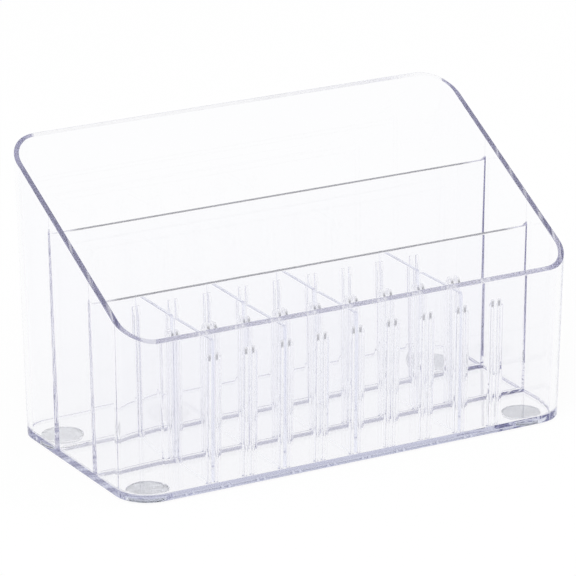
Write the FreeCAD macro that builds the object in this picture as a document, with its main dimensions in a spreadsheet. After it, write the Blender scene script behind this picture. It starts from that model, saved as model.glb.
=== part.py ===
import FreeCAD, Part
import Sketcher
import os
import re

# Clear storage tray with a high back, a sloping rim, two fixed long walls and eight lift-out dividers.
# X runs along the tray's width, Y from front to back and Z up. Lengths are millimetres, angles degrees.

SIZES = {
    # outside of the tray
    "base_width": 220.0,
    "base_depth": 112.0,
    "back_height": 134.0,
    "front_height": 71.5,
    "corner_radius": 15.5,
    "outer_draft": 1.0,
    "base_round": 0.5,
    "rim_round": 0.3,
    # inside of the tray
    "wall_thickness": 3.2,
    "floor_thickness": 2.6,
    "inner_draft": 1.35,
    "floor_fillet": 1.2,
    # fixed long walls: the rear one closes the back row, the middle one splits the two divided rows
    "row_depth": 31.55,
    "rear_wall_drop": 8.7,
    "middle_wall_drop": 10.8,
    "long_wall_draft": 0.75,
    "long_wall_top": 2.0,
    "long_wall_round": 0.6,
    "long_wall_fillet": 2.5,
    # slots: each is a pair of upright ribs with a rounded nose and a sloping lead-in at the top
    "slot_count": 9,
    "slot_pitch": 17.6,
    "rib_width": 1.1,
    "rib_depth": 2.0,
    "rib_height": 59.5,
    "rib_lead": 4.0,
    "rib_tip": 0.8,
    "rib_round": 0.4,
    "rib_fillet": 0.5,
    # lift-out dividers
    "divider_thickness": 1.8,
    "divider_height": 65.2,
    "divider_round": 0.35,
    "divider_corner": 1.5,
    "slot_clearance": 0.25,
    "end_clearance": 0.3,
    "seat_clearance": 0.2,
    # feet: stuck on a little to the left and to the front of the base's middle
    "foot_diameter": 17.6,
    "foot_inset": 16.0,
    "foot_end_inset": 17.6,
    "foot_set_left": 2.1,
    "foot_set_forward": 4.0,
    "foot_standout": 1.0,
    "foot_round": 0.4,
    "recess_depth": 0.8,
    "recess_clearance": 0.2,
    "glue_line": 0.1,
}

# Formulas in the sizes above; heights are measured from the tray's underside.
FORMULAS = {
    "block_height": "back_height * block_share",
    "outer_half_width_top": "base_width / 2 + block_height * tan(outer_draft)",
    "outer_half_depth_top": "base_depth / 2 + block_height * tan(outer_draft)",
    "rim_front_y": "base_depth / 2 + front_height * tan(outer_draft)",
    "rim_back_y": "base_depth / 2 + back_height * tan(outer_draft)",
    "rim_slope": "(back_height - front_height) / (rim_front_y + rim_back_y)",
    "base_centre_y": "(rim_front_y - rim_back_y) / 2",
    "inner_half_width": "base_width / 2 + floor_thickness * tan(outer_draft) - wall_thickness",
    "inner_half_depth": "base_depth / 2 + floor_thickness * tan(outer_draft) - wall_thickness",
    "cavity_rise": "(block_height - floor_thickness) * tan(inner_draft)",
    "inner_radius": "corner_radius - wall_thickness",
    # long walls, with less draft than the tray's sides
    "middle_front_y": "row_depth - inner_half_depth",
    "middle_top": "front_height + (middle_front_y + rim_front_y) * rim_slope - middle_wall_drop",
    "middle_foot": "long_wall_top + 2 * (middle_top - floor_thickness) * tan(long_wall_draft)",
    "middle_rear_y": "middle_front_y + middle_foot",
    "rear_front_y": "middle_rear_y + row_depth",
    "rear_top": "front_height + (rear_front_y + rim_front_y) * rim_slope - rear_wall_drop",
    "rear_foot": "long_wall_top + 2 * (rear_top - floor_thickness) * tan(long_wall_draft)",
    "root_depth": "floor_thickness * root_share",
    "root_spread": "root_depth * tan(long_wall_draft)",
    "end_spread": "root_depth * tan(inner_draft)",
    "horn_height": "long_wall_fillet * horn_share",
    # slots and dividers
    "slot_width": "divider_thickness + 2 * slot_clearance",
    "first_slot_x": "(1 - slot_count) * slot_pitch / 2",
    "rib_offset": "(slot_width + rib_width) / 2",
    "rib_top": "floor_thickness + rib_height",
    "rib_shoulder": "rib_top - rib_lead",
    "wall_root": "wall_thickness * root_share",
    "rib_root": "long_wall_top * root_share",
    "divider_half_foot": "row_depth / 2 + seat_clearance * tan(long_wall_draft) - end_clearance",
    "divider_half_top": "divider_half_foot + divider_height * tan(long_wall_draft)",
    "chamfer_half": "divider_half_foot + floor_fillet * tan(long_wall_draft)",
    "front_row_y": "middle_front_y - row_depth / 2",
    "middle_row_y": "middle_rear_y + row_depth / 2",
    # feet
    "foot_height": "foot_standout + recess_depth - glue_line",
    "recess_diameter": "foot_diameter + 2 * recess_clearance",
    "foot_x": "base_width / 2 - foot_inset",
    "foot_y": "base_depth / 2 - foot_end_inset",
}

# Shares of the sizes they multiply: how far blocks overrun a cut, how deep walls root in what carries them.
SHARES = {"block_share": 1.06, "horn_share": 1.1, "root_share": 0.5}

FILLED_SLOTS = (1, 3, 5, 8)
RIM_SAMPLES = 5
SIDES = {"left": -1, "right": 1}
ENDS = {"front": -1, "rear": 1}

doc = FreeCAD.newDocument("storage_tray")
sheet = doc.addObject("Spreadsheet::Sheet", "sizes")
for row, (alias, number) in enumerate(SIZES.items(), start=1):
    sheet.set(f"A{row}", alias)
    sheet.set(f"B{row}", str(number))
    sheet.setAlias(f"B{row}", alias)
doc.recompute()


def bind(formula):
    """Write a formula in named sizes as an expression on the sheet's cells."""
    def swap(match):
        word = match.group(0)
        if word in SIZES:
            return f"sizes.{word}"
        if word in SHARES:
            return str(SHARES[word])
        if word in FORMULAS:
            return f"({bind(FORMULAS[word])})"
        return word
    return re.sub(r"[a-z][a-z_0-9]*", swap, formula)


def value(formula):
    """Number that a formula gives with the sheet's present sizes."""
    result = sheet.evalExpression(bind(formula))
    return float(getattr(result, "Value", result))


def add_body(label, x="0", y="base_centre_y", z="0"):
    """New body whose local origin is placed by three formulas."""
    body = doc.addObject("PartDesign::Body", label)
    body.Label = label
    for axis, formula in zip("xyz", (x, y, z)):
        body.setExpression(f"Placement.Base.{axis}", bind(formula))
    return body


def add_feature(body, kind, name, **formulas):
    """New feature of a body with its sizes bound to formulas."""
    feature = body.newObject(f"PartDesign::{kind}", name)
    for prop, formula in formulas.items():
        feature.setExpression(prop, bind(formula))
    return feature


def add_sketch(body, name, role, shift=None):
    """New sketch on one of the body's origin planes, shifted along the plane's normal."""
    planes = {item.Role: item for item in body.Origin.OriginFeatures}
    sketch = body.newObject("Sketcher::SketchObject", name)
    sketch.AttachmentSupport = [(planes[role], "")]
    sketch.MapMode = "FlatFace"
    if shift:
        sketch.setExpression("AttachmentOffset.Base.z", bind(shift))
    return sketch


def pin(sketch, geometry, point, place):
    """Fix one point of a sketch at a pair of formulas, measured from the sketch's origin."""
    for kind, formula in zip(("DistanceX", "DistanceY"), place):
        index = sketch.addConstraint(Sketcher.Constraint(kind, -1, 1, geometry, point, value(formula)))
        sketch.setExpression(f"Constraints[{index}]", bind(formula))


def draw_outline(sketch, places):
    """Closed outline of straight lines through places given as pairs of formulas."""
    corners = [FreeCAD.Vector(value(across), value(up), 0) for across, up in places]
    ends = corners[1:] + corners[:1]
    lines = [sketch.addGeometry(Part.LineSegment(start, end)) for start, end in zip(corners, ends)]
    for line, following in zip(lines, lines[1:] + lines[:1]):
        sketch.addConstraint(Sketcher.Constraint("Coincident", line, 2, following, 1))
    for line, place in zip(lines, places):
        pin(sketch, line, 1, place)


def draw_circle(sketch, across, up, diameter):
    """Circle with its centre and diameter bound to formulas."""
    centre = FreeCAD.Vector(value(across), value(up), 0)
    ring = Part.Circle(centre, FreeCAD.Vector(0, 0, 1), value(diameter) / 2)
    geometry = sketch.addGeometry(ring)
    pin(sketch, geometry, 3, (across, up))
    index = sketch.addConstraint(Sketcher.Constraint("Diameter", geometry, value(diameter)))
    sketch.setExpression(f"Constraints[{index}]", bind(diameter))


def add_wedge(body, kind, name, foot, top, low, high):
    """Upright block with a rectangular foot and top, each given as the formulas of its half sizes."""
    wedge = add_feature(body, kind, name, Ymin=low, Ymax=high)
    upright_turn = FreeCAD.Rotation(FreeCAD.Vector(0, 1, 0), FreeCAD.Vector(0, 0, 1))
    wedge.Placement = FreeCAD.Placement(FreeCAD.Vector(), upright_turn)
    for prefix, (half_x, half_y) in (("X", foot), ("X2", top)):
        across = prefix.replace("X", "Z")
        wedge.setExpression(f"{prefix}min", bind(f"-({half_x})"))
        wedge.setExpression(f"{prefix}max", bind(half_x))
        wedge.setExpression(f"{across}min", bind(f"-({half_y})"))
        wedge.setExpression(f"{across}max", bind(half_y))
    doc.recompute()
    return wedge


def add_fillet(body, name, test, radius):
    """Round every edge of the body's present shape that passes the test."""
    base = body.Tip
    names = [f"Edge{k}" for k, edge in enumerate(base.Shape.Edges, start=1) if test(edge)]
    fillet = add_feature(body, "Fillet", name, Radius=radius)
    fillet.Base = (base, names)
    doc.recompute()
    return fillet


def add_cut(body, sketch, name, symmetric, **formulas):
    """Pocket of a sketch, checked to take material away."""
    before = body.Shape.Volume
    pocket = add_feature(body, "Pocket", name, **formulas)
    pocket.Profile = sketch
    pocket.Midplane = symmetric
    pocket.Reversed = not symmetric
    doc.recompute()
    if body.Shape.Volume >= before:
        raise RuntimeError(f"{name} cuts nothing")
    return pocket


def add_pad(body, sketch, name, length):
    """Pad of a sketch to both sides of its plane."""
    pad = add_feature(body, "Pad", name, Length=length)
    pad.Profile = sketch
    pad.Midplane = True
    doc.recompute()
    return pad


def spans(edge, axis):
    """Length of an edge's box along an axis."""
    return getattr(edge.BoundBox, f"{axis}Length")


def add_long_wall(label, front_y, foot, top):
    """Fixed wall across the tray: a drafted plate whose top edge curves up into both side walls."""
    body = doc.addObject("PartDesign::Body", label)
    horn_top = f"{top} + horn_height"
    rise = f"({horn_top} - floor_thickness)"
    end_x = f"inner_half_width + {rise} * tan(inner_draft)"
    plate = add_wedge(
        body, "AdditiveWedge", f"{label}_plate",
        ("inner_half_width + wall_root - end_spread", f"{foot} / 2 + root_spread"),
        (f"{end_x} + wall_root", f"{foot} / 2 - {rise} * tan(long_wall_draft)"),
        "floor_thickness - root_depth", horn_top)
    plate.setExpression("Placement.Base.y", bind(f"{front_y} + {foot} / 2"))
    doc.recompute()
    notch = add_sketch(body, f"{label}_notch_outline", "XZ_Plane")
    draw_outline(notch, (
        (f"-({end_x})", top),
        (end_x, top),
        (end_x, f"{horn_top} + horn_height"),
        (f"-({end_x})", f"{horn_top} + horn_height"),
    ))
    add_cut(body, notch, f"{label}_notch", True, Length="2 * base_depth")
    top_z, end = value(top), value(end_x)
    near = value("long_wall_round") / 100
    add_fillet(body, f"{label}_ends", lambda edge: abs(edge.CenterOfMass.z - top_z) < near
               and abs(abs(edge.CenterOfMass.x) - end) < near, "long_wall_fillet")
    arc_top = top_z + value("long_wall_fillet")
    add_fillet(body, f"{label}_edges", lambda edge: top_z - near < edge.CenterOfMass.z < arc_top - near
               and spans(edge, "X") > near and abs(edge.CenterOfMass.x) < end, "long_wall_round")
    return body


# Shell: a drafted block with rounded corners, cut by the sloping rim and hollowed from above
shell = add_body("tray_shell", z="foot_standout")
add_wedge(shell, "AdditiveWedge", "outer_block", ("base_width / 2", "base_depth / 2"),
          ("outer_half_width_top", "outer_half_depth_top"), "0", "block_height")

rim_outline = add_sketch(shell, "rim_outline", "YZ_Plane")
rim_run = "block_height * block_share"
draw_outline(rim_outline, (
    (f"-rim_front_y - {rim_run}", f"front_height - {rim_run} * rim_slope"),
    (f"rim_back_y + {rim_run}", f"back_height + {rim_run} * rim_slope"),
    (f"rim_back_y + {rim_run}", f"back_height + 2 * {rim_run}"),
    (f"-rim_front_y - {rim_run}", f"back_height + 2 * {rim_run}"),
))
add_cut(shell, rim_outline, "rim_cut", True, Length="2 * base_width")

add_wedge(shell, "SubtractiveWedge", "cavity", ("inner_half_width", "inner_half_depth"),
          ("inner_half_width + cavity_rise", "inner_half_depth + cavity_rise"),
          "floor_thickness", "block_height")
upright = value("front_height") / 2
floor_z = value("floor_thickness")


def is_corner(edge, foot_z):
    """True for the upright corner edges that start at a height."""
    low = min(vertex.Point.z for vertex in edge.Vertexes)
    return spans(edge, "Z") > upright and abs(low - foot_z) < floor_z / 2


add_fillet(shell, "inner_corners", lambda edge: is_corner(edge, floor_z), "inner_radius")
add_fillet(shell, "outer_corners", lambda edge: is_corner(edge, 0), "corner_radius")

walls = [
    add_long_wall("middle_wall", "middle_front_y", "middle_foot", "middle_top"),
    add_long_wall("rear_wall", "rear_front_y", "rear_foot", "rear_top"),
]
weld = shell.newObject("PartDesign::Boolean", "long_walls")
weld.Type = "Fuse"
weld.setObjects(walls)
shell.Tip = weld
doc.recompute()

# Rounded edges: floor to walls, rim and underside
flat = value("root_depth") / 100


def on_rim(edge):
    """True for the two loops around the sloping rim face."""
    def off_rim(point):
        return abs(point.z - value("front_height") - (point.y + value("rim_front_y")) * value("rim_slope"))
    return all(off_rim(point) < flat for point in edge.discretize(RIM_SAMPLES))


add_fillet(shell, "floor_edges", lambda edge: abs(edge.CenterOfMass.z - floor_z) < flat
           and spans(edge, "Z") < flat, "floor_fillet")
add_fillet(shell, "rim_edges", on_rim, "rim_round")
add_fillet(shell, "base_edges", lambda edge: abs(edge.BoundBox.ZMax) < flat, "base_round")


# Recesses in the underside for the feet
def foot_place(side, end):
    """Formulas of a foot's centre, measured from the base's middle."""
    return f"{side} * foot_x - foot_set_left", f"{end} * foot_y - foot_set_forward"


recess_outline = add_sketch(shell, "recess_outline", "XY_Plane")
for side in SIDES.values():
    for end in ENDS.values():
        draw_circle(recess_outline, *foot_place(side, end), "recess_diameter")
add_cut(shell, recess_outline, "foot_recesses", False, Length="recess_depth")


# Ribs: each slot has a pair on every wall face that looks into a divided row
def rib_outline(face_y, inward, draft):
    """Side outline of a rib on a wall face that leans away from the row by its draft."""
    def face(height, off):
        lean = f"({height} - floor_thickness) * tan({draft})"
        return f"{face_y} - {inward} * ({lean}) + {inward} * ({off})"
    low = "floor_thickness - root_depth"
    return (
        (face(low, "-rib_root"), low),
        (face(low, "rib_depth"), low),
        (face("rib_shoulder", "rib_depth"), "rib_shoulder"),
        (face("rib_top", "rib_tip"), "rib_top"),
        (face("rib_top", "-rib_root"), "rib_top"),
    )


rib_faces = (
    ("-inner_half_depth", 1, "inner_draft"),
    ("middle_front_y", -1, "long_wall_draft"),
    ("middle_rear_y", 1, "long_wall_draft"),
    ("rear_front_y", -1, "long_wall_draft"),
)
rib_pads = []
for side_name, side in SIDES.items():
    rib_plane = f"first_slot_x + {side} * rib_offset"
    rib_sketch = add_sketch(shell, f"rib_outline_{side_name}", "YZ_Plane", rib_plane)
    for face_y, inward, draft in rib_faces:
        draw_outline(rib_sketch, rib_outline(face_y, inward, draft))
    rib_pads.append(add_pad(shell, rib_sketch, f"ribs_{side_name}", "rib_width"))
pattern = shell.newObject("PartDesign::LinearPattern", "rib_rows")
pattern.Originals = rib_pads
pattern.Direction = (next(item for item in shell.Origin.OriginFeatures if item.Role == "X_Axis"), [""])
pattern.setExpression("Length", bind("(slot_count - 1) * slot_pitch"))
pattern.setExpression("Occurrences", bind("slot_count"))
shell.Tip = pattern
doc.recompute()
shoulder = value("rib_shoulder")
add_fillet(shell, "rib_noses", lambda edge: abs(edge.BoundBox.ZMax - shoulder) < flat
           and spans(edge, "Z") > shoulder / 2, "rib_round")
rib_peak = value("rib_top")
add_fillet(shell, "rib_roots", lambda edge: abs(edge.BoundBox.ZMax - rib_peak) < flat
           and spans(edge, "Z") > shoulder / 2, "rib_fillet")


def add_divider(label, slot, row_y):
    """Lift-out divider: a thin plate that tapers with its row's walls and has its lower corners cut off."""
    body = add_body(label, f"first_slot_x + {slot - 1} * slot_pitch", f"base_centre_y + {row_y}",
                    "foot_standout + floor_thickness + seat_clearance")
    sketch = add_sketch(body, f"{label}_outline", "YZ_Plane")
    side = (
        ("divider_half_foot - floor_fillet", "0"),
        ("chamfer_half", "floor_fillet"),
        ("divider_half_top", "divider_height"),
    )
    other = tuple((f"-({across})", up) for across, up in reversed(side))
    draw_outline(sketch, side + other)
    add_pad(body, sketch, f"{label}_plate", "divider_thickness")
    top = value("divider_height")
    near = value("divider_round") / 100
    add_fillet(body, f"{label}_corners", lambda edge: abs(edge.CenterOfMass.z - top) < near
               and spans(edge, "Y") < near, "divider_corner")
    add_fillet(body, f"{label}_edges", lambda edge: edge.CenterOfMass.z > top - value("divider_corner")
               and spans(edge, "Y") > near and spans(edge, "X") < near, "divider_round")
    return body


def add_foot(label, side, end):
    """Round foot that sits in its recess and carries the tray."""
    across, along = foot_place(side, end)
    body = add_body(label, across, f"base_centre_y + {along}")
    sketch = add_sketch(body, f"{label}_outline", "XY_Plane")
    draw_circle(sketch, "0", "0", "foot_diameter")
    pad = add_feature(body, "Pad", f"{label}_disc", Length="foot_height")
    pad.Profile = sketch
    doc.recompute()
    ground = value("foot_round") / 2
    add_fillet(body, f"{label}_edge", lambda edge: abs(edge.BoundBox.ZMax) < ground, "foot_round")
    return body


parts = [shell]
for row_name, row_y in (("middle", "middle_row_y"), ("front", "front_row_y")):
    for slot in FILLED_SLOTS:
        parts.append(add_divider(f"{row_name}_divider_{slot}", slot, row_y))
for end_name, end in ENDS.items():
    for side_name, side in SIDES.items():
        parts.append(add_foot(f"foot_{end_name}_{side_name}", side, end))

doc.recompute()
for item in doc.Objects:
    if "Invalid" in item.State or "Error" in item.State:
        raise RuntimeError(f"{item.Name} did not build: {item.State}")
for part in parts:
    if part.Shape.isNull() or not part.Shape.isValid() or len(part.Shape.Solids) != 1:
        raise RuntimeError(f"{part.Label} is not one valid solid")

os.makedirs("parts", exist_ok=True)
for part in parts:
    part.Shape.exportStep(f"parts/{part.Label}.step")
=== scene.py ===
"""Finishes and studio for a clear divided storage tray, laid out as an add-on and run as a script."""
import math

import bmesh
import bpy
from bpy.props import FloatProperty, FloatVectorProperty, IntProperty, PointerProperty
from mathutils import Matrix, Vector


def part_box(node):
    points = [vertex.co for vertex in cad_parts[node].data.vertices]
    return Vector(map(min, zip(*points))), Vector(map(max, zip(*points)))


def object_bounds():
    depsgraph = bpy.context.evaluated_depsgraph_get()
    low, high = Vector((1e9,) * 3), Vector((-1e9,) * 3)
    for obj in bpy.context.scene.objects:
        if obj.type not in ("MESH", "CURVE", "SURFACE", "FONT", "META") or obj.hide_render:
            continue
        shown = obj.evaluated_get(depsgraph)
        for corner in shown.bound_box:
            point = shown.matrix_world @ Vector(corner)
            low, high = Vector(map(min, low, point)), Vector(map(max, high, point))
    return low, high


bl_info = {
    "name": "Divided storage tray",
    "version": (1, 0, 0),
    "blender": (4, 5, 0),
    "location": "3D View > Sidebar > Tray",
    "description": "Clear plastic, rubber feet and a white studio for a divided storage tray",
    "category": "Object",
}

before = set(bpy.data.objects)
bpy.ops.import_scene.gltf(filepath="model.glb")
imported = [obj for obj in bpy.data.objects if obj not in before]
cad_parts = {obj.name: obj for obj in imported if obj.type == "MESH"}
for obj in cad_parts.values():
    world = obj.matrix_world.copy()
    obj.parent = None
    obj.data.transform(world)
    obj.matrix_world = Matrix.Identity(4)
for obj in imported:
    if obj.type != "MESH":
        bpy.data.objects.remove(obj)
cad_low, cad_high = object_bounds()

MM = 0.001
SENSOR = 36.0
CLIPPING = (0.05, 50.0)
FLOOR_SIDES = 96
PLAIN_WHITE = (1.0, 1.0, 1.0, 1.0)

# places on the moulding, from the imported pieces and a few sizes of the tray
shell_low, shell_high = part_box("tray_shell")
middle_low, middle_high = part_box("middle_divider_1")
front_back_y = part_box("front_divider_1")[1].y
third_left_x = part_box("middle_divider_3")[0].x
SLOTS_APART = 2
SLOT_PITCH = (third_left_x - middle_low.x) / SLOTS_APART
SLOT_REACH = 75 * MM
END_BAND = 8.2 * MM
SIDE_WALL_X = shell_high.x - END_BAND
FRONT_WALL_Y = shell_high.y - END_BAND
CORNER_REACH = 24 * MM
CORNER_TURN_X = (18 * MM, 12 * MM)
CORNER_TURN_Y = (7 * MM, 2 * MM)
REAR_WALL_SET = 1.75 * MM
LONG_WALL_Y = ((front_back_y + middle_low.y) / 2, middle_high.y + REAR_WALL_SET)
LONG_WALL_Z = 75 * MM
WALL_FOOT_Z = (4.5 * MM, 4.9 * MM)
WALL_FOOT_REACH = 3.4 * MM
TOP_FADE = 8 * MM
RIM_SLOPE = 0.54072
RIM_MIDDLE_Z = 103.75 * MM
RIM_REACH = (0.05 * MM, 0.4 * MM)
RIB_SIDE = 2.2 * MM
RIB_TIP_Z = (59.2 * MM, 63.4 * MM)
TIP_FADE = (0.5 * MM, 2.0 * MM)
REAR_FACE_SET = 0.5 * MM
RIB_ROWS_Y = (shell_low.y + RIB_SIDE, LONG_WALL_Y[1] + REAR_FACE_SET)
BASE_EDGE_Z = (4.4 * MM, 5.0 * MM)

# soft steps of a face's direction, as shares of its normal
WALL_FACING = 0.8
TOP_FACING = (0.3, 0.6)
FOOT_FACING = (0.985, 0.93)
TIP_FACING = (0.1, 0.22)
RIM_FACING = (0.5, 0.7)
BASE_EDGE_FACING = (0.6, 0.35)
CUT_FACING = (0.9, 0.6)

# grain of the noise in each finish, and the soft steps laid over it
CLOUD_DETAIL = 2.0
WAVE_DETAIL = 1.0
WAVE_ROUGHNESS = 0.4
SMUDGE_DETAIL = 5.0
SMUDGE_ROUGHNESS = 0.62
SMUDGE_STEP = (0.5, 0.8)
RUBBER_GRAIN_DETAIL = 3.0
RUBBER_CLOUD_DETAIL = 4.0
FLOOR_DETAIL = 3.0
FLOOR_ROUGHNESS = (0.85, 0.95)
CEILING_STEP = (0.45, 0.9)

# sockets of the colour mix node
MIX_COLOURS = (6, 7)
MIX_RESULT = 2


def nodes_of(slot):
    """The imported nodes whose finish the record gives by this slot."""
    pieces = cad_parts.values()
    found = [obj for obj in pieces if obj.data.materials[0].name.split(".")[0] == slot]
    if not found:
        raise RuntimeError(f"no piece takes the finish {slot}")
    return found


class ClearPlasticSettings(bpy.types.PropertyGroup):
    """Look of the clear moulding and its dividers."""

    surface: FloatVectorProperty(
        name="Clear tint", description="Colour that light takes on through a wall",
        subtype="COLOR", size=3, min=0.0, max=1.0, default=(0.9945, 0.9952, 0.9995))
    cloud: FloatVectorProperty(
        name="Clear tint in clouds",
        description="Colour that light takes on where the plastic is a little cloudy",
        subtype="COLOR", size=3, min=0.0, max=1.0, default=(0.989, 0.99, 0.9985))
    tint: FloatVectorProperty(
        name="Edge tint", description="Colour that light takes on along the inside of the walls",
        subtype="COLOR", size=3, min=0.0, max=1.0, default=(0.4, 0.39, 0.6))
    tint_density: FloatProperty(
        name="Tint density", description="How strongly a metre of the tray's plastic tints the light",
        min=0.0, default=4.2)
    divider_density: FloatProperty(
        name="Divider tint density",
        description="How strongly a metre of the dividers' plastic tints the light",
        min=0.0, default=1.2)
    # painted light: a bluer tint on the base's thick edge stands in for light guided along the base plate
    base_edge_painted_light: FloatVectorProperty(
        name="Base edge tint", description="Colour of the thick edge of the base",
        subtype="COLOR", size=3, min=0.0, max=1.0, default=(0.58, 0.61, 0.74))
    # painted shade: a darker tint on the rim along the side walls
    rim_side_painted_shade: FloatVectorProperty(
        name="Rim side tint", description="Colour of the rim along the side walls",
        subtype="COLOR", size=3, min=0.0, max=1.0, default=(0.58, 0.58, 0.61))
    # painted shade: a darker violet tint on the rim round the front corners
    rim_corner_painted_shade: FloatVectorProperty(
        name="Rim corner tint", description="Colour of the rim round the front corners",
        subtype="COLOR", size=3, min=0.0, max=1.0, default=(0.55, 0.55, 0.68))
    # painted shade: a dark colour on the long walls' tops
    painted_top_shade: FloatVectorProperty(
        name="Painted shade on tops", description="Colour of the long walls' tops, darkened by painted shade",
        subtype="COLOR", size=3, min=0.0, max=1.0, default=(0.22, 0.22, 0.225))
    # painted shade: a dark colour on the ribs' sloping tips
    painted_tip_shade: FloatVectorProperty(
        name="Painted shade on tips", description="Colour of the ribs' sloping tips, darkened by painted shade",
        subtype="COLOR", size=3, min=0.0, max=1.0, default=(0.24, 0.24, 0.25))
    witness: FloatVectorProperty(
        name="Witness line tint", description="Colour of the line over each long wall's end",
        subtype="COLOR", size=3, min=0.0, max=1.0, default=(0.8, 0.8, 0.84))
    # painted shade: a darker tint in the crease where the long walls meet the base
    wall_foot_painted_shade: FloatVectorProperty(
        name="Wall foot tint", description="Colour of the long walls' rounded feet",
        subtype="COLOR", size=3, min=0.0, max=1.0, default=(0.55, 0.55, 0.63))
    cut_tint: FloatVectorProperty(
        name="Cut edge tint", description="Colour of the dividers' cut edges",
        subtype="COLOR", size=3, min=0.0, max=1.0, default=(0.93, 0.94, 0.99))
    glare: FloatProperty(
        name="Glare", description="Share of the full mirror image that the faces throw back",
        subtype="FACTOR", min=0.0, max=1.0, default=0.4)
    refraction: FloatProperty(
        name="Refraction", description="Refractive index of the plastic",
        min=1.0, max=2.0, default=1.53)
    polish: FloatProperty(
        name="Polish", description="Roughness of the cleanest surface",
        min=0.0, max=1.0, default=0.002)
    haze: FloatProperty(
        name="Handling haze", description="Roughness added where the surface has been handled",
        min=0.0, max=1.0, default=0.012)
    satin: FloatProperty(
        name="Satin rim", description="Roughness of the trimmed rim", min=0.0, max=1.0, default=0.12)
    cut_edge: FloatProperty(
        name="Cut edge", description="Roughness of the dividers' cut edges",
        min=0.0, max=1.0, default=0.03)
    cloud_size: FloatProperty(
        name="Cloud size", description="Size of the faint clouds in the plastic",
        unit="LENGTH", default=33 * MM)
    smudge_size: FloatProperty(
        name="Smudge size", description="Size of the patches of handling haze",
        unit="LENGTH", default=22 * MM)
    wave_length: FloatProperty(
        name="Wave length", description="Distance between the moulding's gentle waves",
        unit="LENGTH", default=38 * MM)
    wave_height: FloatProperty(
        name="Wave height", description="Height of the moulding's gentle waves",
        unit="LENGTH", default=0.008 * MM)
    witness_width: FloatProperty(
        name="Witness line width", description="Width of the line over each long wall's end",
        unit="LENGTH", default=0.5 * MM)
    witness_height: FloatProperty(
        name="Witness line height", description="Height of the line over each long wall's end",
        unit="LENGTH", default=0.02 * MM)
    flare_width: FloatProperty(
        name="Rib flare width", description="How far each rib's soft root reaches along the wall",
        unit="LENGTH", default=1.8 * MM)
    flare_height: FloatProperty(
        name="Rib flare height", description="Height of each rib's soft root",
        unit="LENGTH", default=0.25 * MM)


class FootSettings(bpy.types.PropertyGroup):
    """Look of the round feet."""

    colour: FloatVectorProperty(
        name="Foot colour", description="Colour of the soft feet",
        subtype="COLOR", size=3, min=0.0, max=1.0, default=(0.92, 0.94, 1.0))
    clearness: FloatProperty(
        name="Foot clearness", description="How far light passes through the soft feet",
        subtype="FACTOR", min=0.0, max=1.0, default=0.88)
    grain: FloatProperty(
        name="Foot grain", description="Size of the rubber's moulded grain",
        unit="LENGTH", default=0.35 * MM)
    grain_height: FloatProperty(
        name="Foot grain height", description="Height of the rubber's moulded grain",
        unit="LENGTH", default=0.018 * MM)
    cloud_size: FloatProperty(
        name="Foot cloud size", description="Size of the rubber's faint clouds",
        unit="LENGTH", default=4.2 * MM)
    cloud_shade: FloatProperty(
        name="Foot cloud shade", description="Brightness of the rubber's clouds",
        subtype="FACTOR", min=0.0, max=1.0, default=0.94)
    roughness: FloatProperty(
        name="Foot roughness", description="Roughness of the rubber",
        min=0.0, max=1.0, default=0.5)
    refraction: FloatProperty(
        name="Foot refraction", description="Refractive index of the rubber",
        min=1.0, max=2.0, default=1.42)


class StageSettings(bpy.types.PropertyGroup):
    """White studio round the tray."""

    floor_colour: FloatVectorProperty(
        name="Floor colour", description="Colour of the pale floor",
        subtype="COLOR", size=3, min=0.0, max=1.0, default=(0.93, 0.93, 0.93))
    floor_white: FloatProperty(
        name="Floor whitening", description="How far the floor is seen as plain white",
        subtype="FACTOR", min=0.0, max=1.0, default=0.95)
    floor_radius: FloatProperty(
        name="Floor radius", description="Reach of the floor", unit="LENGTH", default=9.0)
    ambient: FloatProperty(
        name="Ambient light", description="Strength of the light from all round", min=0.0, default=0.65)
    ceiling: FloatProperty(
        name="Ceiling", description="Brightness of the ceiling that the plastic shows",
        min=0.0, max=1.0, default=0.9)
    mottle_size: FloatProperty(
        name="Floor mottle", description="Size of the floor's faint mottle",
        unit="LENGTH", default=3.3 * MM)
    key_place: FloatVectorProperty(
        name="Key light place", description="Where the main softbox hangs",
        subtype="TRANSLATION", size=3, default=(-1.0, -1.0, 1.6))
    key_size: FloatProperty(
        name="Key light size", description="Side of the main softbox", unit="LENGTH", default=1.2)
    key_power: FloatProperty(
        name="Key light power", description="Power of the main softbox", unit="POWER", default=18.0)
    fill_place: FloatVectorProperty(
        name="Fill light place", description="Where the second softbox hangs",
        subtype="TRANSLATION", size=3, default=(1.5, -0.6, 1.1))
    fill_size: FloatProperty(
        name="Fill light size", description="Side of the second softbox", unit="LENGTH", default=1.0)
    fill_power: FloatProperty(
        name="Fill light power", description="Power of the second softbox", unit="POWER", default=8.0)
    bounces: IntProperty(
        name="Bounces", description="How often light may turn inside the walls", min=0, default=512)
    lens: FloatProperty(
        name="Lens", description="Focal length of the camera in millimetres", min=1.0, default=261.66)
    camera_place: FloatVectorProperty(
        name="Camera place", description="Where the camera stands",
        subtype="TRANSLATION", size=3, default=(-0.86403, -1.51807, 0.64931))
    camera_turn: FloatVectorProperty(
        name="Camera turn", description="Camera's yaw to the left, pitch down and roll",
        subtype="EULER", size=3,
        default=(math.radians(29.5775), math.radians(18.5253), math.radians(-0.191)))


class TraySettings(bpy.types.PropertyGroup):
    """All settings of the tray and its studio."""

    plastic: PointerProperty(type=ClearPlasticSettings)
    feet: PointerProperty(type=FootSettings)
    stage: PointerProperty(type=StageSettings)


def new_material(name):
    """An empty node material and its node tree."""
    material = bpy.data.materials.new(name)
    material.use_nodes = True
    tree = material.node_tree
    tree.nodes.clear()
    return material, tree


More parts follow.
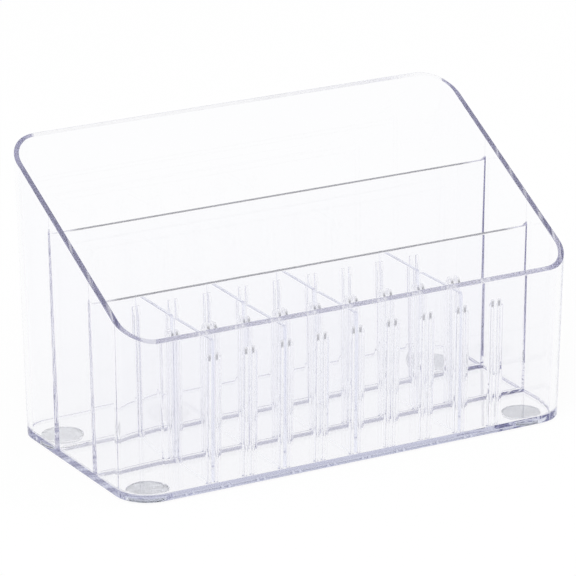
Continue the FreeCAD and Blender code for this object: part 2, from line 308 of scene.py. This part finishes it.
def add_node(tree, kind, settings=None, **inputs):
    """Adds a node; inputs are plain values or the sockets that feed them, named with _ for a space."""
    node = tree.nodes.new(kind)
    for key, setting in (settings or {}).items():
        setattr(node, key, setting)
    for key, feed in inputs.items():
        socket = node.inputs[key.replace("_", " ")]
        if isinstance(feed, bpy.types.NodeSocket):
            tree.links.new(feed, socket)
        else:
            socket.default_value = feed
    return node


def do_math(tree, operation, first, second=0.0, clamp=False):
    """Adds a math node and gives its result."""
    node = tree.nodes.new("ShaderNodeMath")
    node.operation = operation
    node.use_clamp = clamp
    for socket, feed in zip(node.inputs, (first, second)):
        if isinstance(feed, bpy.types.NodeSocket):
            tree.links.new(feed, socket)
        else:
            socket.default_value = feed
    return node.outputs[0]


def ramp(tree, feed, start, end, low=0.0, high=1.0):
    """A soft step of a feed: low at its start and high at its end."""
    node = add_node(tree, "ShaderNodeMapRange", {"interpolation_type": "SMOOTHSTEP"}, Value=feed,
                    From_Min=start, From_Max=end, To_Min=low, To_Max=high)
    return node.outputs[0]


def blend(tree, share, first, second):
    """A mix of two colours, each a socket or a plain colour."""
    node = add_node(tree, "ShaderNodeMix", {"data_type": "RGBA"})
    tree.links.new(share, node.inputs[0])
    for index, colour in zip(MIX_COLOURS, (first, second)):
        if isinstance(colour, bpy.types.NodeSocket):
            tree.links.new(colour, node.inputs[index])
        else:
            node.inputs[index].default_value = (*colour, 1.0)
    return node.outputs[MIX_RESULT]


def all_of(tree, *shares):
    """The product of several shares."""
    whole = shares[0]
    for share in shares[1:]:
        whole = do_math(tree, "MULTIPLY", whole, share)
    return whole


class Surface:
    """Where a point of a clear piece lies and which way it faces, as sockets of a node tree."""

    def __init__(self, tree):
        self.tree = tree
        coordinates = add_node(tree, "ShaderNodeTexCoord").outputs
        self.place = coordinates["Object"]
        self.x, self.y, self.z = add_node(tree, "ShaderNodeSeparateXYZ", Vector=self.place).outputs
        facing = add_node(tree, "ShaderNodeSeparateXYZ", Vector=coordinates["Normal"]).outputs
        self.face_x, self.face_y, self.face_z = (do_math(tree, "ABSOLUTE", part) for part in facing)
        self.off_middle = do_math(tree, "ABSOLUTE", self.x)
        within = add_node(tree, "ShaderNodeNewGeometry").outputs["Backfacing"]
        self.turn = ramp(tree, within, 0.0, 1.0, 1.0, -1.0)
        self.entering = do_math(tree, "SUBTRACT", 1.0, within)
        spread = [do_math(tree, "MULTIPLY", part, off) for part, off in zip(facing, (self.x, self.y))]
        self.outward = do_math(tree, "MULTIPLY", do_math(tree, "ADD", *spread), self.turn)

    def noise(self, size, detail, roughness=0.5):
        """Soft noise over the piece, in patches of a size."""
        return add_node(self.tree, "ShaderNodeTexNoise", Vector=self.place, Scale=1 / size, Detail=detail,
                        Roughness=roughness).outputs[0]

    def between(self, feed, low, high):
        """One where a feed lies between two values, and nought elsewhere."""
        above = do_math(self.tree, "GREATER_THAN", feed, low)
        return do_math(self.tree, "MULTIPLY", above, do_math(self.tree, "LESS_THAN", feed, high))


def off_long_walls(surface):
    """Distance from the nearer long wall's middle."""
    tree = surface.tree
    steps = [do_math(tree, "SUBTRACT", surface.y, wall_y) for wall_y in LONG_WALL_Y]
    return do_math(tree, "MINIMUM", *(do_math(tree, "ABSOLUTE", step) for step in steps))


def wall_feet(surface):
    """Share of the rounded feet of the long walls, where painted shade darkens the crease."""
    tree = surface.tree
    return all_of(tree, ramp(tree, surface.face_z, *FOOT_FACING),
                  ramp(tree, surface.z, *WALL_FOOT_Z, 1.0, 0.0),
                  do_math(tree, "LESS_THAN", off_long_walls(surface), WALL_FOOT_REACH),
                  do_math(tree, "LESS_THAN", surface.off_middle, SIDE_WALL_X))


def witness_lines(surface, settings):
    """Share of the fine lines that run up the side walls' inner faces over the long walls' ends."""
    tree = surface.tree
    line = ramp(tree, off_long_walls(surface), 0.0, settings.witness_width, 1.0, 0.0)
    return all_of(tree, line, do_math(tree, "GREATER_THAN", surface.off_middle, SIDE_WALL_X),
                  do_math(tree, "GREATER_THAN", surface.face_x, WALL_FACING),
                  do_math(tree, "LESS_THAN", surface.outward, 0.0))


def rib_flares(surface, settings):
    """Height of the soft roots beside the ribs, on the wall faces that carry ribs."""
    tree = surface.tree
    slot = do_math(tree, "DIVIDE", surface.x, SLOT_PITCH)
    past_slot = do_math(tree, "SUBTRACT", slot, do_math(tree, "ROUND", slot))
    off_slot = do_math(tree, "MULTIPLY", do_math(tree, "ABSOLUTE", past_slot), SLOT_PITCH)
    flare = ramp(tree, off_slot, RIB_SIDE, RIB_SIDE + settings.flare_width, settings.flare_height, 0.0)
    below_tips = ramp(tree, surface.z, *RIB_TIP_Z, 1.0, 0.0)
    return all_of(tree, flare, below_tips, do_math(tree, "LESS_THAN", surface.off_middle, SLOT_REACH),
                  surface.between(surface.y, *RIB_ROWS_Y),
                  do_math(tree, "GREATER_THAN", surface.face_y, WALL_FACING))


def wall_tops(surface):
    """Share of the long walls' tops, where painted shade darkens them."""
    tree = surface.tree
    return all_of(tree, ramp(tree, surface.face_z, *TOP_FACING),
                  do_math(tree, "GREATER_THAN", surface.z, LONG_WALL_Z),
                  ramp(tree, surface.off_middle, SIDE_WALL_X - TOP_FADE, SIDE_WALL_X, 1.0, 0.0),
                  do_math(tree, "LESS_THAN", do_math(tree, "ABSOLUTE", surface.y), FRONT_WALL_Y))


def rib_tips(surface):
    """Share of the sloping tips of the ribs on the front wall and on the middle wall's front face, where
    painted shade darkens them.
    """
    tree = surface.tree
    low, high = RIB_TIP_Z
    low_fade, high_fade = TIP_FADE
    return all_of(tree, ramp(tree, surface.face_z, *TIP_FACING),
                  ramp(tree, surface.z, low, low + low_fade),
                  ramp(tree, surface.z, high - high_fade, high, 1.0, 0.0),
                  surface.between(surface.y, RIB_ROWS_Y[0], LONG_WALL_Y[0]),
                  do_math(tree, "LESS_THAN", surface.off_middle, SLOT_REACH))


def base_edge_painted_light(surface):
    """Share of the base's thick edge, where light enters it and gets a painted bluer tint that stands in
    for light guided along the base.
    """
    tree = surface.tree
    off_end = do_math(tree, "SUBTRACT", surface.off_middle, SIDE_WALL_X)
    off_row = do_math(tree, "SUBTRACT", do_math(tree, "ABSOLUTE", surface.y), FRONT_WALL_Y)
    rind = do_math(tree, "GREATER_THAN", do_math(tree, "MAXIMUM", off_end, off_row), 0.0)
    return all_of(tree, ramp(tree, surface.face_z, *BASE_EDGE_FACING),
                  ramp(tree, surface.z, *BASE_EDGE_Z, 1.0, 0.0),
                  do_math(tree, "GREATER_THAN", surface.outward, 0.0), rind, surface.entering)


def rim_top(surface):
    """Share of the trimmed sloping rim."""
    tree = surface.tree
    rise = do_math(tree, "MULTIPLY", surface.y, RIM_SLOPE)
    rim_z = do_math(tree, "ADD", rise, RIM_MIDDLE_Z)
    off_rim = do_math(tree, "ABSOLUTE", do_math(tree, "SUBTRACT", surface.z, rim_z))
    return all_of(tree, ramp(tree, off_rim, *RIM_REACH, 1.0, 0.0),
                  ramp(tree, surface.face_z, *RIM_FACING))


def rim_sides(surface):
    """Share of the rim along the side walls, between the corners, where painted shade darkens it."""
    tree = surface.tree
    half = CORNER_REACH / 2
    from_centre = do_math(tree, "ABSOLUTE", surface.y)
    return all_of(tree, rim_top(surface),
                  ramp(tree, surface.off_middle, shell_high.x - CORNER_REACH, shell_high.x - half),
                  ramp(tree, from_centre, shell_high.y - half, shell_high.y - CORNER_REACH))


def rim_corners(surface):
    """Share of the rim where the two front corners run into the front wall, where painted shade darkens it.
    """
    tree = surface.tree
    far_x, near_x = (shell_high.x - reach for reach in CORNER_TURN_X)
    far_y, near_y = (shell_low.y + reach for reach in CORNER_TURN_Y)
    return all_of(tree, rim_top(surface), ramp(tree, surface.off_middle, far_x, near_x),
                  ramp(tree, surface.y, far_y, near_y))


def moulding_colour(surface, settings):
    """Faint tint of the tray's surface, with a bluer base edge of painted light, and painted shade
    darkening the rim, the long walls' feet and tops and the ribs' tips.
    """
    tree = surface.tree
    clouds = surface.noise(settings.cloud_size, CLOUD_DETAIL)
    colour = blend(tree, clouds, settings.surface, settings.cloud)
    # painted light: a bluer tint on the base's thick edge, for light guided along the base
    colour = blend(tree, base_edge_painted_light(surface), colour, settings.base_edge_painted_light)
    colour = blend(tree, witness_lines(surface, settings), colour, settings.witness)
    # painted shade in the crease at the long walls' feet
    colour = blend(tree, wall_feet(surface), colour, settings.wall_foot_painted_shade)
    # painted shade on the rim along the side walls
    colour = blend(tree, rim_sides(surface), colour, settings.rim_side_painted_shade)
    # painted shade on the rim at the front corners
    colour = blend(tree, rim_corners(surface), colour, settings.rim_corner_painted_shade)
    # painted shade on the long walls' tops
    colour = blend(tree, wall_tops(surface), colour, settings.painted_top_shade)
    # painted shade on the ribs' sloping tips
    return blend(tree, rib_tips(surface), colour, settings.painted_tip_shade)


def moulding_height(surface, settings):
    """Relief of the tray's surface, turned round for light that meets it from within."""
    tree = surface.tree
    lines = do_math(tree, "MULTIPLY", witness_lines(surface, settings), settings.witness_height)
    relief = do_math(tree, "ADD", lines, rib_flares(surface, settings))
    return do_math(tree, "MULTIPLY", relief, surface.turn)


def clear_plastic(name, settings, tray):
    """Polished clear plastic that tints light along its inside, for the tray or for its dividers."""
    material, tree = new_material(name)
    surface = Surface(tree)
    waves = surface.noise(settings.wave_length, WAVE_DETAIL, WAVE_ROUGHNESS)
    height = do_math(tree, "MULTIPLY", waves, settings.wave_height)
    patches = surface.noise(settings.smudge_size, SMUDGE_DETAIL, SMUDGE_ROUGHNESS)
    smudges = ramp(tree, patches, *SMUDGE_STEP, settings.polish, settings.polish + settings.haze)
    if tray:
        density = settings.tint_density
        colour = moulding_colour(surface, settings)
        height = do_math(tree, "ADD", height, moulding_height(surface, settings))
        satin = do_math(tree, "MULTIPLY", rim_top(surface), settings.satin)
        rough = do_math(tree, "MAXIMUM", smudges, satin)
    else:
        density = settings.divider_density
        cut = ramp(tree, surface.face_x, *CUT_FACING)
        clouds = surface.noise(settings.cloud_size, CLOUD_DETAIL)
        colour = blend(tree, clouds, settings.surface, settings.cloud)
        colour = blend(tree, cut, colour, settings.cut_tint)
        rough = do_math(tree, "MAXIMUM", smudges, do_math(tree, "MULTIPLY", cut, settings.cut_edge))
    bump = add_node(tree, "ShaderNodeBump", Strength=1.0, Distance=1.0, Height=height)
    glare = (settings.glare, settings.glare, settings.glare, 1.0)
    shader = add_node(tree, "ShaderNodeBsdfPrincipled", Base_Color=colour, Roughness=rough,
                      IOR=settings.refraction, Transmission_Weight=1.0, Specular_Tint=glare,
                      Normal=bump.outputs[0])
    body = add_node(tree, "ShaderNodeVolumeAbsorption", Color=(*settings.tint, 1.0), Density=density)
    add_node(tree, "ShaderNodeOutputMaterial", Surface=shader.outputs[0], Volume=body.outputs[0])
    return material


def foot_rubber(settings):
    """Soft pale rubber with a fine moulded grain, which lets some light through."""
    material, tree = new_material("pale_rubber")
    place = add_node(tree, "ShaderNodeTexCoord").outputs["Object"]
    grain = add_node(tree, "ShaderNodeTexNoise", Vector=place, Scale=1 / settings.grain,
                     Detail=RUBBER_GRAIN_DETAIL).outputs[0]
    bump = add_node(tree, "ShaderNodeBump", Strength=1.0, Distance=settings.grain_height, Height=grain)
    cloud = add_node(tree, "ShaderNodeTexNoise", Vector=place, Scale=1 / settings.cloud_size,
                     Detail=RUBBER_CLOUD_DETAIL).outputs[0]
    darker = [settings.cloud_shade * part for part in settings.colour]
    shade = blend(tree, cloud, darker, settings.colour)
    shader = add_node(tree, "ShaderNodeBsdfPrincipled", Base_Color=shade, Roughness=settings.roughness,
                      IOR=settings.refraction, Transmission_Weight=settings.clearness,
                      Normal=bump.outputs[0])
    add_node(tree, "ShaderNodeOutputMaterial", Surface=shader.outputs[0])
    return material


def seen_ray(tree):
    """One for a ray that the camera sees straight, mirrored or through plastic, and nought for lighting."""
    path = add_node(tree, "ShaderNodeLightPath").outputs
    seen = do_math(tree, "ADD", path["Is Camera Ray"], path["Is Glossy Ray"])
    seen = do_math(tree, "ADD", seen, path["Is Transmission Ray"], clamp=True)
    first = do_math(tree, "SUBTRACT", 1.0, path["Diffuse Depth"], clamp=True)
    return do_math(tree, "MULTIPLY", seen, first)


def pale_floor(settings):
    """Pale matt floor that the camera sees as white, with the object's shadow kept."""
    material, tree = new_material("pale_floor")
    place = add_node(tree, "ShaderNodeTexCoord").outputs["Object"]
    mottle = add_node(tree, "ShaderNodeTexNoise", Vector=place, Scale=1 / settings.mottle_size,
                      Detail=FLOOR_DETAIL).outputs[0]
    smoothest, roughest = FLOOR_ROUGHNESS
    rough = add_node(tree, "ShaderNodeMapRange", Value=mottle, To_Min=smoothest, To_Max=roughest).outputs[0]
    matt = add_node(tree, "ShaderNodeBsdfDiffuse", Color=(*settings.floor_colour, 1.0), Roughness=rough)
    white = add_node(tree, "ShaderNodeEmission", Color=PLAIN_WHITE, Strength=1.0)
    share = do_math(tree, "MULTIPLY", seen_ray(tree), settings.floor_white)
    both = add_node(tree, "ShaderNodeMixShader", Fac=share)
    tree.links.new(matt.outputs[0], both.inputs[1])
    tree.links.new(white.outputs[0], both.inputs[2])
    add_node(tree, "ShaderNodeOutputMaterial", Surface=both.outputs[0])
    return material


class TRAY_OT_finish_shell(bpy.types.Operator):
    """Give the tray's moulding its clear polished plastic"""

    bl_idname = "tray.finish_shell"
    bl_label = "Finish the tray"
    bl_options = {"UNDO"}

    def execute(self, context):
        material = clear_plastic("clear_moulding", context.scene.tray.plastic, tray=True)
        for shell in nodes_of("clear_shell"):
            shell.data.materials[0] = material
        return {"FINISHED"}


class TRAY_OT_finish_dividers(bpy.types.Operator):
    """Give the lift-out dividers their clear plastic"""

    bl_idname = "tray.finish_dividers"
    bl_label = "Finish the dividers"
    bl_options = {"UNDO"}

    def execute(self, context):
        material = clear_plastic("clear_divider_plate", context.scene.tray.plastic, tray=False)
        for divider in nodes_of("clear_divider"):
            divider.data.materials[0] = material
        return {"FINISHED"}


class TRAY_OT_finish_feet(bpy.types.Operator):
    """Give the round feet their pale rubber"""

    bl_idname = "tray.finish_feet"
    bl_label = "Finish the feet"
    bl_options = {"UNDO"}

    def execute(self, context):
        material = foot_rubber(context.scene.tray.feet)
        for foot in nodes_of("foot_pad"):
            foot.data.materials[0] = material
        return {"FINISHED"}


def add_floor(settings):
    """A wide round floor under the tray."""
    mesh = bpy.data.meshes.new("studio_floor")
    shape = bmesh.new()
    bmesh.ops.create_circle(shape, cap_ends=True, radius=settings.floor_radius, segments=FLOOR_SIDES)
    shape.to_mesh(mesh)
    shape.free()
    mesh.materials.append(pale_floor(settings))
    floor = bpy.data.objects.new("studio_floor", mesh)
    bpy.context.scene.collection.objects.link(floor)


def add_world(settings):
    """Light from all round, seen as white."""
    world = bpy.data.worlds.new("white_studio")
    world.use_nodes = True
    tree = world.node_tree
    tree.nodes.clear()
    way = add_node(tree, "ShaderNodeTexCoord").outputs["Generated"]
    upward = add_node(tree, "ShaderNodeSeparateXYZ", Vector=way).outputs[2]
    dome = ramp(tree, upward, *CEILING_STEP, 1.0, settings.ceiling)
    camera = add_node(tree, "ShaderNodeLightPath").outputs["Is Camera Ray"]
    shown = do_math(tree, "MAXIMUM", dome, camera)
    missing = do_math(tree, "SUBTRACT", shown, settings.ambient)
    extra = do_math(tree, "MULTIPLY", seen_ray(tree), missing)
    strength = do_math(tree, "ADD", extra, settings.ambient)
    light = add_node(tree, "ShaderNodeBackground", Color=PLAIN_WHITE, Strength=strength)
    add_node(tree, "ShaderNodeOutputWorld", Surface=light.outputs[0])
    bpy.context.scene.world = world


def add_lamp(name, place, aim, size, power):
    """A square softbox turned to its aim."""
    lamp = bpy.data.lights.new(name, "AREA")
    lamp.size = size
    lamp.energy = power
    obj = bpy.data.objects.new(name, lamp)
    obj.location = place
    obj.rotation_euler = (Vector(aim) - Vector(place)).to_track_quat("-Z", "Y").to_euler()
    obj.visible_glossy = obj.visible_transmission = False
    bpy.context.scene.collection.objects.link(obj)


def add_camera(settings):
    """The camera, from where it stands and how it is turned."""
    yaw, pitch, roll = settings.camera_turn
    level = math.cos(pitch)
    back = Vector((-math.sin(yaw) * level, -math.cos(yaw) * level, math.sin(pitch)))
    right = Vector((math.cos(yaw), -math.sin(yaw), 0.0))
    up = back.cross(right)
    side = right * math.cos(roll) + up * math.sin(roll)
    top = up * math.cos(roll) - right * math.sin(roll)
    data = bpy.data.cameras.new("studio_camera")
    data.lens = settings.lens
    data.sensor_width = SENSOR
    data.clip_start, data.clip_end = CLIPPING
    camera = bpy.data.objects.new("studio_camera", data)
    turn = Matrix((side, top, back)).transposed().to_4x4()
    camera.matrix_world = Matrix.Translation(settings.camera_place) @ turn
    bpy.context.scene.collection.objects.link(camera)
    bpy.context.scene.camera = camera


class TRAY_OT_set_stage(bpy.types.Operator):
    """Set the floor, the light and the camera round the tray"""

    bl_idname = "tray.set_stage"
    bl_label = "Set the studio"
    bl_options = {"UNDO"}

    def execute(self, context):
        scene = context.scene
        settings = scene.tray.stage
        add_floor(settings)
        add_world(settings)
        middle = (cad_low + cad_high) / 2
        add_lamp("key_softbox", settings.key_place, middle, settings.key_size, settings.key_power)
        add_lamp("fill_softbox", settings.fill_place, middle, settings.fill_size, settings.fill_power)
        add_camera(settings)
        scene.view_settings.view_transform = "Standard"
        scene.cycles.max_bounces = settings.bounces
        scene.cycles.transmission_bounces = settings.bounces
        scene.cycles.glossy_bounces = settings.bounces
        return {"FINISHED"}


class TRAY_PT_sidebar(bpy.types.Panel):
    """The tray's settings and steps"""

    bl_idname = "TRAY_PT_sidebar"
    bl_label = "Divided storage tray"
    bl_space_type = "VIEW_3D"
    bl_region_type = "UI"
    bl_category = "Tray"

    def draw(self, context):
        for step in STEPS:
            self.layout.operator(step.bl_idname)
        for group in ("plastic", "feet", "stage"):
            box = self.layout.box()
            settings = getattr(context.scene.tray, group)
            for name in settings.__annotations__:
                box.prop(settings, name)


STEPS = (TRAY_OT_finish_shell, TRAY_OT_finish_dividers, TRAY_OT_finish_feet, TRAY_OT_set_stage)
CLASSES = (ClearPlasticSettings, FootSettings, StageSettings, TraySettings, *STEPS, TRAY_PT_sidebar)


def register():
    """Registers every class and hangs the settings on the scene."""
    for item in CLASSES:
        bpy.utils.register_class(item)
    bpy.types.Scene.tray = PointerProperty(type=TraySettings)


def unregister():
    """Takes the settings and every class away again."""
    del bpy.types.Scene.tray
    for item in reversed(CLASSES):
        bpy.utils.unregister_class(item)


def main():
    """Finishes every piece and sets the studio."""
    register()
    bpy.ops.tray.finish_shell()
    bpy.ops.tray.finish_dividers()
    bpy.ops.tray.finish_feet()
    bpy.ops.tray.set_stage()


if __name__ == "__main__":
    main()
